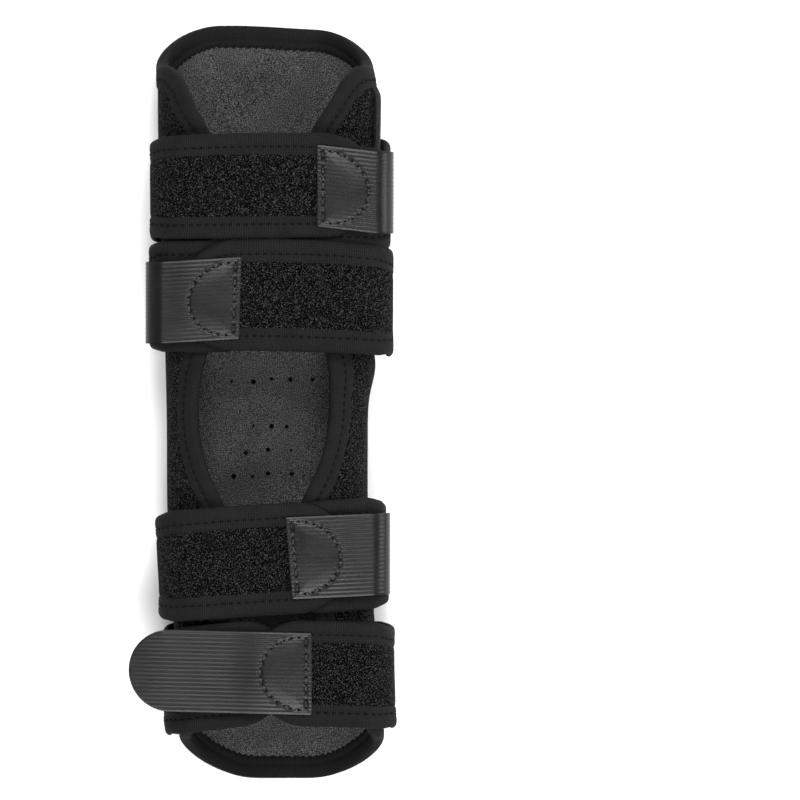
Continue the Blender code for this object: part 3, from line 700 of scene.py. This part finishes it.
def makeTab(number):
    facts, values = bands[number], tabValues
    parts, length = tabLine(facts)
    half = facts["tabHalf"]
    columns, rows = values["columns"], values["ribs"] * values["perRib"]
    dS, dY = stitchedD()
    first, last = (shift * 0.001 for shift in bandShapes[number]["tab"])
    lean, bend = bandShapes[number]["lean"][1], min(parts[0][1], length)

    def place(s, y, depth):
        s, y, depth = asArrays(s, y, depth)
        u, z, turn = follow(parts, s, 0.0)
        sewn = 1 - smooth(s, values["sewnFrom"], values["sewnTo"])
        out = values["thick"] / 2 - depth + bandValues["crown"] * (1 - (y / facts["half"]) ** 2) * sewn
        out = out + values["ripple"] * ripple(s * 0.7, y * 0.5, number + 5.0) * (1 - sewn)
        u = u + facts["tabStart"]
        x = facts["centre"] + facts["side"] * (u - np.sin(turn) * out)
        shift = first + (last - first) * np.clip(s / bend, 0, 1) + facts["slope"] * (x - facts["centre"])
        x = x - lean * y * (1 - smooth(s, bend - 0.004, bend + 0.003))
        return np.stack([x, facts["y"] + y + shift, facts["tabZ"] + z + np.cos(turn) * out], axis=-1)

    def pattern(i, j):
        straight = length - half
        share = i / columns * (straight + half * math.pi / 2)
        angle = np.clip((share - straight) / half, 0, math.pi / 2)
        s = np.minimum(share, straight) + half * np.sin(angle)
        cut = values["cornerCut"] * (1 - np.sqrt(1 - np.clip(1 - s / values["cornerCut"], 0, 1) ** 2))
        tall = np.where(angle > 0, half * np.cos(angle), half - cut)
        return s, np.clip((j / rows * 2 - 1) * half, -tall, tall), tall

    def formed(i, j):
        s, y, tall = pattern(i, j)
        rim = np.minimum.reduce([tall - np.abs(y), s, length - s])
        fade = smooth(rim, 0.0002, values["rim"])
        rib = 0.5 + 0.5 * np.cos(2 * math.pi * (y + half) / (2 * half / values["ribs"]))
        rib = rib * (1 - values["ribFade"] * smooth(s, length - half, length))
        depth = values["rimDrop"] * (1 - fade) + values["ribHeight"] * fade * rib
        near = np.flatnonzero(s < values["sewnEnd"])
        away = np.sqrt(np.min((s[near, None] - dS) ** 2 + (y[near, None] - dY) ** 2, axis=1))
        past = (s[near] - values["dInset"]) / values["dDepth"]
        inside = (past > 0) & (past**2 + (y[near] / values["dHalf"]) ** 2 < 1)
        beat = 0.65 + 0.35 * np.cos(2 * math.pi * np.arctan2(y[near], s[near] - 0.008) * 3.4)
        depth[near] += values["groove"] * np.exp(-((away / values["grooveWidth"]) ** 2)) * beat
        flatten = values["ribHeight"] * values["flatten"] * inside * smooth(away, 0.0005, 0.002)
        depth[near] -= flatten * (rib * fade)[near]
        depth[near] -= values["pillow"] * inside * smooth(away, 0.0005, 0.005)
        return place(s, y, depth)

    tab = clothGrid(f"hookTab{number}", columns, rows, formed, lambda i, j: pattern(i, j)[:2], "hook")
    editAll(tab, mergeDoubles)
    thicken(tab, *probe(place, 0.01, 0.0), values["thick"], 60)
    hinge = (facts["centre"] + facts["side"] * facts["apex"], facts["y"], facts["tabZ"])
    hinge[0] - facts["side"] * 0.002
    hinge[0] + facts["side"] * 0.0035
    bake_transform(tab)
    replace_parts(tab, f"hook_tab_{number}_sewn_end", f"hook_tab_{number}_free_end")
    places = alongPath(dS, dY, values["stitchPitch"], 0.0008)
    stitchRow(f"hookTab{number}Stitches", f"strap_{number}", place, *places, values["stitchLength"],
              values["stitchRadius"], values["stitchDepth"])


wrapValues = {
    "length": 0.282, "depth": 0.056, "backCorner": 0.022, "frontCorner": 0.018, "widest": 0.0410,
    "waist": 0.0376, "waistY": -0.010, "topCentre": -0.0013, "bottomCentre": 0.0044, "leanStart": 0.030,
    "hemDrop": 0.0155, "ripple": 0.00045, "bulgeY": 0.0135, "bulgeLength": 0.0095,
    "hemSlope": {1: (0.2, 0.76), -1: (0.12, 0.79)}, "insideStitches": 0.0074, "sideBulge": 0.0025,
    "hemTilt": 0.0016, "hemPull": 0.0030, "pullFrom": 0.112, "pullTo": 0.134, "cornerShare": 0.1,
    "cornerDrop": 0.008, "inset": 0.0012, "bunching": 1.18,
    "shell": 0.0011, "foamDepth": 0.0013, "foam": 0.0012, "liningDepth": 0.0028, "lining": 0.0008,
    "laminate": 0.0036, "bindingOut": 0.0006, "columns": 150, "rows": 220, "scallop": 0.00042,
}
# the front edges, in mm, as (place along the guard, distance from its middle)
leftEdge = ((128, 35.5), (114, 29.5), (99, 20.5), (60, 20.5), (22, 21.5), (8, 25.5), (-8, 26.6),
            (-24, 23.0), (-38, 16.5), (-70, 15.0), (-100, 21.5), (-114, 31.0), (-128, 36.0))
rightEdge = ((128, 34.0), (114, 24.5), (99, 15.5), (60, 16.0), (22, 20.5), (8, 23.0), (-8, 23.2),
             (-24, 19.0), (-38, 12.5), (-70, 13.5), (-86, 15.5), (-100, 22.0), (-114, 30.0), (-128, 35.5))
# the rows of air holes in the palm side of the lining, in mm: place along the guard and places across it
ventRows = ((8.1, (-14.2, -5.7, 1.2, 8.3, 17.3)), (-9.6, (-6.0, 1.0, 7.6)), (-18.6, (-8.3, -0.2, 9.0)),
            (-27.4, (-13.5, -6.2, 0.2, 8.7)))
ventSizes = (0.00085, 0.00055, 0.0010, 0.0007, 0.0009)  # taken in turn
wrapShift = bands[4]["centre"] - 0.00305
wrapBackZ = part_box("outer_shell")[0].z


def wrapHalf(y):
    v = wrapValues
    return v["waist"] + (v["widest"] - v["waist"]) * smooth(y, v["waistY"], v["length"] * 0.42)


def wrapCentre(y):
    v = wrapValues
    return v["topCentre"] + (v["bottomCentre"] - v["topCentre"]) * smooth(-y, v["leanStart"], v["length"] / 2)


def wrapPlace(across, y, depth):
    v = wrapValues
    across, y, depth = asArrays(across, y, depth)
    hand, s, half = np.where(across < 0, -1.0, 1.0), np.abs(across), wrapHalf(y)
    flat, rise = half - v["backCorner"], v["depth"] - v["backCorner"] - v["frontCorner"]
    s = s - flat
    bend = np.clip(s, 0, v["backCorner"] * math.pi / 2) / v["backCorner"]
    u = flat + np.minimum(s, 0) + v["backCorner"] * np.sin(bend)
    z = v["backCorner"] * (1 - np.cos(bend))
    s = s - v["backCorner"] * math.pi / 2
    z = z + np.clip(s, 0, rise)
    s = s - rise
    turn = np.clip(s, 0, v["frontCorner"] * math.pi / 2) / v["frontCorner"]
    u = u + v["frontCorner"] * (np.cos(turn) - 1) - np.clip(s - v["frontCorner"] * math.pi / 2, 0, None)
    z = z + v["frontCorner"] * np.sin(turn)
    depth = depth + v["ripple"] * ripple(across * 0.8, y * 0.6, 7.0)
    u = u - np.sin(bend + turn) * depth
    z = z + np.cos(bend + turn) * depth
    pull = v["hemPull"] * smooth(y, v["pullFrom"], v["pullTo"]) * smooth(u, 0.02, 0.04) * (hand > 0)
    bulge = v["sideBulge"] * np.exp(-(((y - v["bulgeY"]) / v["bulgeLength"]) ** 2))
    pull = pull - bulge * smooth(u, 0.015, 0.036) * (hand > 0)
    return np.stack([wrapCentre(y) + hand * (u - pull) + wrapShift, y, wrapBackZ + z], axis=-1)


def edgeDistance(hand, y):
    v = wrapValues
    reach = np.where(hand < 0, through(leftEdge, y), through(rightEdge, y))
    half = wrapHalf(y)
    rise = v["depth"] - v["backCorner"] - v["frontCorner"]
    roundStart = half - v["backCorner"] + v["backCorner"] * math.pi / 2 + rise
    past = reach - (half - v["frontCorner"])
    onRound = v["frontCorner"] * np.arccos(np.clip(past / v["frontCorner"], -1, 1))
    return roundStart + np.where(past >= 0, onRound, v["frontCorner"] * math.pi / 2 - past)


def hemY(end, signed):
    v, share = wrapValues, np.abs(signed)
    into = np.clip((share - 1 + v["cornerShare"]) / v["cornerShare"], 0, 1)
    drop = v["hemDrop"] * smooth(share, *v["hemSlope"][end]) ** 1.1
    drop = drop + v["cornerDrop"] * (1 - np.sqrt(1 - into**2))
    if end > 0:
        drop = drop + v["hemTilt"] * smooth(signed, -0.15, 0.3) * (1 - smooth(signed, 0.3, 0.6))
    return end * (v["length"] / 2 - drop)


def wrapPattern(share, along, inset):
    low, high = hemY(-1, share) + inset, hemY(1, share) - inset
    y = low + (high - low) * along
    return share * (edgeDistance(np.where(share < 0, -1.0, 1.0), y) - inset), y


def wrapLayer(name, outer, thick, finish, vents=False):
    columns, rows = wrapValues["columns"], wrapValues["rows"]

    def pattern(i, j):
        share = i / columns * 2 - 1
        # closer together at the round corners
        share = np.sign(share) * (1 - (1 - np.abs(share)) ** wrapValues["bunching"])
        return wrapPattern(share, j / rows, wrapValues["inset"])

    holes = []

    def formed(i, j):
        across, y = pattern(i, j)
        if vents:
            for ventY, ventXs in ventRows:
                for x in ventXs:
                    hole = np.argmin((across - x * 0.001) ** 2 + (y - ventY * 0.001) ** 2)
                    holes.append(hole)
                    radius = ventSizes[len(holes) % len(ventSizes)]
                    ring = (np.abs(i - i[hole]) <= 1) & (np.abs(j - j[hole]) <= 1)
                    ring[hole] = False
                    dx, dy = across[ring] - across[hole], y[ring] - y[hole]
                    away = np.hypot(dx, dy)
                    across[ring] = across[hole] + dx / away * radius
                    y[ring] = y[hole] + dy / away * radius
        return wrapPlace(across, y, outer)

    layer = clothGrid(name, columns, rows, formed, pattern, finish)
    if vents:
        useOnly(layer)
        flags = np.zeros(len(layer.data.vertices), bool)
        flags[holes] = True
        bpy.ops.object.mode_set(mode="EDIT")
        bpy.ops.mesh.select_mode(type="VERT")
        bpy.ops.mesh.select_all(action="DESELECT")
        bpy.ops.object.mode_set(mode="OBJECT")
        layer.data.vertices.foreach_set("select", flags)
        bpy.ops.object.mode_set(mode="EDIT")
        bpy.ops.mesh.delete(type="VERT")
        bpy.ops.object.mode_set(mode="OBJECT")
    thicken(layer, *probe(wrapPlace, 0.03, 0.03, outer), thick)
    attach(layer, "root")
    return layer


def wrapOutline(step=0.0011):
    rows = np.linspace(0, 1, 3000)
    ends, ones = np.linspace(-1, 1, len(rows)), np.ones_like(rows)
    runs = [wrapPattern(ends, ones * 0, 0.0), wrapPattern(ones, rows, 0.0),
            wrapPattern(ends[::-1], ones, 0.0), wrapPattern(-ones, rows[::-1], 0.0)]
    s, y = (np.concatenate([run[axis] for run in runs]) for axis in (0, 1))
    lengths = np.concatenate([[0.0], np.cumsum(np.hypot(np.diff(s), np.diff(y)))])
    pitch = bandValues["stitchPitch"]
    whole = round(lengths[-1] / pitch) * pitch  # a whole number of stitches goes round
    spots = np.linspace(0, lengths[-1], int(whole / step))
    s, y = np.interp(spots, lengths, s), np.interp(spots, lengths, y)
    runS, runY = (np.roll(line[:-1], -4) - np.roll(line[:-1], 4) for line in (s, y))
    size = np.hypot(runS, runY)
    inS, inY = -runY / size, runS / size
    return s, y, np.append(inS, inS[0]), np.append(inY, inY[0])


def makeWrap():
    v = wrapValues
    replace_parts(wrapLayer("outerShell", 0.0, v["shell"], "loop"), "outer_shell")
    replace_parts(wrapLayer("foamCore", v["foamDepth"], v["foam"], "foam", vents=True), "foam_core")
    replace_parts(wrapLayer("liningCloth", v["liningDepth"], v["lining"], "lining", vents=True), "lining")
    outline = wrapOutline()
    profile = foldProfile(v["laminate"] + 2 * v["bindingOut"])

    def place(s, y, depth):
        return wrapPlace(s, y, np.asarray(depth) - v["bindingOut"])

    def inside(s, y, depth):
        return place(s, y, profile[-1, 1] + 0.0002 - np.asarray(depth))

    tape = edgeTape("edgeBinding", outline, place, profile, 9, closed=True, scallop=v["scallop"])
    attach(tape, "root")
    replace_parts(tape, "edge_binding")
    edgeStitches("edgeStitchesOutside", outline, place, bandValues["stitchDepth"], "root")
    edgeStitches("edgeStitchesInside", outline, inside, 0.0002, "root", v["insideStitches"])
    makeSideTape()
    print("wrap made")


sideTapeValues = {"width": 0.010, "rise": 0.013, "proud": 0.0016, "tuck": 0.004, "thick": 0.0012,
                  "groove": 0.00018, "grooveIn": 0.0014, "grooveWidth": 0.0005, "stitchPitch": 0.003,
                  "columns": 24, "rows": 110}


def makeSideTape():
    values = sideTapeValues
    low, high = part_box("side_seam_tape")
    corner = wrapValues["backCorner"]

    def pattern(i, j):
        y = low.y + (high.y + values["tuck"] - low.y) * j / values["rows"]
        start = wrapHalf(y) - corner + corner * math.pi / 2 + values["rise"]
        return start + values["width"] * i / values["columns"], y

    def formed(i, j):
        s, y = pattern(i, j)
        edge = np.minimum(i, values["columns"] - i) / values["columns"] * values["width"]
        dip = values["groove"] * np.exp(-(((edge - values["grooveIn"]) / values["grooveWidth"]) ** 2))
        dip = dip * (1.5 + np.cos(2 * math.pi * y / values["stitchPitch"]))
        proud = values["proud"] * smooth(high.y + values["tuck"] - y, 0.0, 0.006)
        return wrapPlace(s, y, -proud + 0.0004 * (1 - smooth(edge, 0, 0.0009)) + dip)

    tape = clothGrid("sideSeamTape", values["columns"], values["rows"], formed,
                     lambda i, j: pattern(i, j)[::-1], "tape")
    thicken(tape, *probe(wrapPlace, wrapHalf(0.07) + 0.035, 0.07), values["thick"])
    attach(tape, "root")
    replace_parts(tape, "side_seam_tape")


sleeveValues = {
    "wall": 0.0004, "wing": 0.00045, "pocketHalf": 0.0049, "wingHalf": 0.0061, "around": 64, "rows": 120,
    "pinch": 0.006, "stitchPitch": 0.003, "stitchX": 0.0059, "stitchLength": 0.002, "stitchRadius": 0.0002,
    "fullness": 0.7, "squareness": 16,
}
stayValues = {"edge": 0.0003, "corner": 0.004}


def makeSleeve(side):
    values = sleeveValues
    low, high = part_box(f"{side}_stay_sleeve")
    centreX, centreZ = (low.x + high.x) / 2, (low.z + high.z) / 2
    wide, tall = (high.x - low.x) / 2, (high.z - low.z) / 2

    def place(s, y, depth):
        # s goes round the sleeve, from 0 to 1
        s, y, depth = asArrays(s, y, depth)
        angle = s * 2 * math.pi
        x = (wide - depth) * np.sign(np.cos(angle)) * np.abs(np.cos(angle)) ** values["fullness"]
        pocket = (1 - smooth(np.abs(x), values["pocketHalf"], values["wingHalf"]))
        pocket = pocket * smooth(y, low.y + 0.001, low.y + values["pinch"])
        lift = values["wing"] + (tall - values["wing"]) * pocket - depth
        lift = lift * np.minimum(1, np.sqrt(np.clip(1 - (np.abs(x) / wide) ** values["squareness"], 0, 1)))
        return np.stack([centreX + x, y, centreZ + np.sign(np.sin(angle)) * lift], axis=-1)

    def formed(i, j):
        share = (i % values["around"]) / values["around"]
        return place(share, low.y + (high.y - low.y) * j / values["rows"], 0.0)

    def flat(i, j):
        return (high.y - low.y) * j / values["rows"], i / values["around"] * 0.03

    sleeve = clothGrid(f"{side}StaySleeve", values["around"], values["rows"], formed, flat, "tape")
    editAll(sleeve, mergeDoubles)
    thicken(sleeve, (centreX, 0, centreZ - tall), (0, 0, -1), values["wall"])
    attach(sleeve, "root")
    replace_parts(sleeve, f"{side}_stay_sleeve")
    y = np.arange(low.y + 0.003, high.y - 0.002, values["stitchPitch"])

    def wing(s, at, depth):
        return np.stack([s, at, centreZ - values["wing"] + depth], axis=-1)

    for hand, label in ((-1, "Left"), (1, "Right")):
        seamX = np.full_like(y, centreX + hand * values["stitchX"])
        stitchRow(f"{side}SleeveStitches{label}", "root", wing, seamX, y, np.zeros_like(y), np.ones_like(y),
                  values["stitchLength"], values["stitchRadius"])


def makeStay(side):
    low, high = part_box(f"{side}_stay")
    size, centre = high - low, (high + low) / 2
    deselect()
    bpy.ops.mesh.primitive_cube_add(size=1.0, location=centre)
    stay = bpy.context.object
    stay.name = stay.data.name = f"{side}Stay"
    stay.scale = size
    bpy.ops.object.transform_apply(location=True, rotation=False, scale=True)
    bpy.ops.object.mode_set(mode="EDIT")
    bpy.ops.mesh.select_mode(type="EDGE")
    bpy.ops.mesh.select_all(action="DESELECT")
    bpy.ops.object.mode_set(mode="OBJECT")
    for edge in stay.data.edges:
        ends = [stay.data.vertices[v].co for v in edge.vertices]
        edge.select = abs(ends[0].z - ends[1].z) > size.z / 2
    bpy.ops.object.mode_set(mode="EDIT")
    bpy.ops.mesh.bevel(offset=stayValues["corner"], segments=10)
    bpy.ops.object.mode_set(mode="OBJECT")
    softer = stay.modifiers.new("edges", "BEVEL")
    softer.width, softer.segments = stayValues["edge"], 3
    bpy.ops.object.modifier_apply(modifier="edges")
    bpy.ops.object.shade_smooth_by_angle(angle=math.radians(40))
    stay.data.materials.append(finishes["stay"])
    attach(stay, f"{side}_stay")
    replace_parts(stay, f"{side}_stay")


makeWrap()
for number in bands:
    makeBand(number)
for side in ("left", "right"):
    makeSleeve(side)
    makeStay(side)
print("stays made")
bpy.data.objects.remove(stitchShape)
